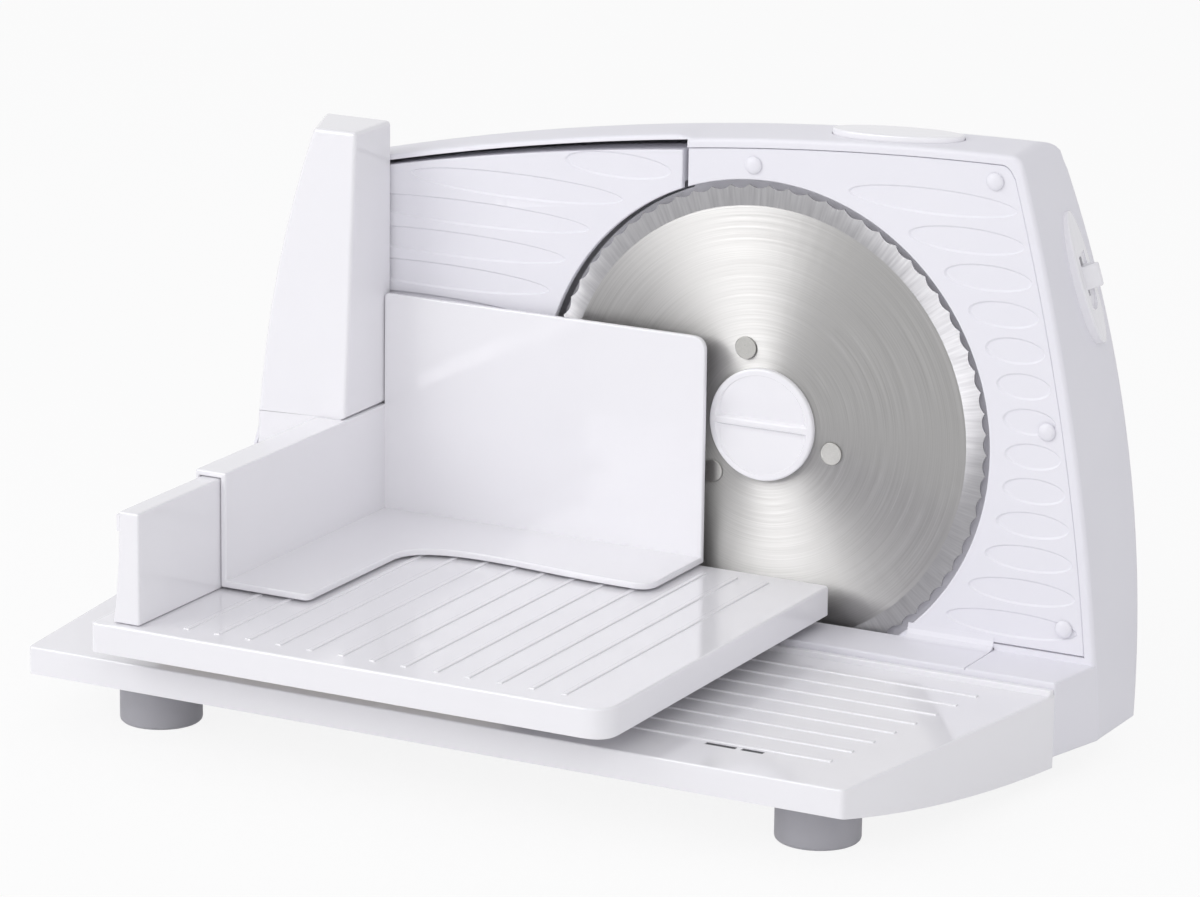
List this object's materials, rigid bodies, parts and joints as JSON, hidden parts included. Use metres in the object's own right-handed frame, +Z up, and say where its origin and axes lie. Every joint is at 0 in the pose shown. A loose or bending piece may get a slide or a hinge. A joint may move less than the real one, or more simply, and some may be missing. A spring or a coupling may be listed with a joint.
{
  "type": "food slicer",
  "caption": "Electric food slicer in glossy white plastic, with a wavy round blade, a ribbed sliding carriage, a remainder pusher, a gauge plate and a front tray.",
  "frame": {"origin": "on the table, under the middle of the overall box", "axes": "+X along the blade face to the right, +Y from the user to the back, +Z up"},
  "size_m": [0.3928, 0.2614, 0.2372],
  "materials": {
    "white_plastic": "glossy moulded",
    "grey_rubber": "matt moulded",
    "steel": "turned and ground",
    "dark_plastic": "matt moulded",
    "natural_plastic": "moulded",
    "bronze_bush": "sintered"
  },
  "bodies": {
    "base": {"housing_shell": "white_plastic", "rear_cover": "white_plastic", "rear_cover_screw_1": "steel", "rear_cover_screw_2": "steel", "rear_cover_screw_3": "steel", "rear_cover_screw_4": "steel", "blade_cover": "white_plastic", "cover_rivet_1": "white_plastic", "cover_rivet_2": "white_plastic", "cover_rivet_3": "white_plastic", "cover_rivet_4": "white_plastic", "cord_gland": "dark_plastic", "base_tray": "white_plastic", "tray_screw_1": "steel", "tray_screw_2": "steel", "front_foot_left": "grey_rubber", "front_foot_right": "grey_rubber", "rear_foot_left": "grey_rubber", "rear_foot_right": "grey_rubber", "blade_axle": "steel", "axle_nut": "steel", "motor_can": "steel", "worm_bush": "bronze_bush", "gearbox_bracket": "steel", "bracket_screw_1": "steel", "bracket_screw_2": "steel", "guide_bush_upper": "natural_plastic", "guide_bush_lower": "natural_plastic", "button_switch": "dark_plastic", "switch_plate": "white_plastic", "run_switch": "dark_plastic"},
    "blade_set": {"blade": "steel", "blade_gear": "natural_plastic", "blade_rivet_1": "steel", "blade_rivet_2": "steel", "blade_rivet_3": "steel"},
    "lock": {"blade_lock_knob": "white_plastic"},
    "rotor": {"motor_shaft": "steel", "worm": "steel", "armature": "dark_plastic", "motor_fan": "dark_plastic"},
    "carriage_set": {"carriage": "white_plastic", "side_fence": "white_plastic", "finger_guard": "white_plastic", "carriage_glide_front": "natural_plastic", "carriage_glide_rear": "natural_plastic"},
    "pusher_set": {"pusher": "white_plastic"},
    "gauge": {"gauge_plate": "white_plastic", "gauge_post_upper": "steel", "gauge_post_lower": "steel", "gauge_nut": "natural_plastic"},
    "dial": {"thickness_knob": "white_plastic", "thickness_spindle": "natural_plastic"},
    "button": {"power_button": "white_plastic", "button_spring": "steel"},
    "slider": {"switch_slider": "white_plastic"}
  },
  "joints": [
    {"name": "blade_turn", "type": "hinge", "parent": "base", "child": "blade_set", "pos_m": [0.04998, 0.0614, 0.116], "axis": [0, 1, 0], "continuous": true},
    {"name": "lock_turn", "type": "hinge", "parent": "blade_set", "child": "lock", "pos_m": [0.04998, 0.0594, 0.116], "axis": [0, 1, 0], "range_deg": [0, 90]},
    {"name": "rotor_turn", "type": "hinge", "parent": "base", "child": "rotor", "pos_m": [0.09298, 0.0839, 0.116], "axis": [0, 0, 1], "continuous": true},
    {"name": "carriage_slide", "type": "slide", "parent": "base", "child": "carriage_set", "axis": [1, 0, 0], "range_m": [-0.02, 0.15]},
    {"name": "pusher_slide", "type": "slide", "parent": "carriage_set", "child": "pusher_set", "axis": [0, 1, 0], "range_m": [-0.05, 0]},
    {"name": "dial_turn", "type": "hinge", "parent": "base", "child": "dial", "pos_m": [-0.08002, 0.1204, 0.121], "axis": [0, 1, 0], "range_deg": [0, 300]},
    {"name": "gauge_slide", "type": "slide", "parent": "base", "child": "gauge", "axis": [0, 1, 0], "range_m": [0, 0.015]},
    {"name": "button_press", "type": "slide", "parent": "base", "child": "button", "axis": [0, 0, -1], "range_m": [0, 0.002], "stiffness_N_per_m": 600, "springref_m": -0.002},
    {"name": "switch_slide", "type": "slide", "parent": "base", "child": "slider", "axis": [-0.2341, -0.1392, 0.9622], "range_m": [-0.004, 0.004]}
  ],
  "couplings": [
    {"joint": "rotor_turn", "follows": "blade_turn", "ratio": 48},
    {"joint": "dial_turn", "follows": "gauge_slide", "rad_per_m": 349.06}
  ]
}
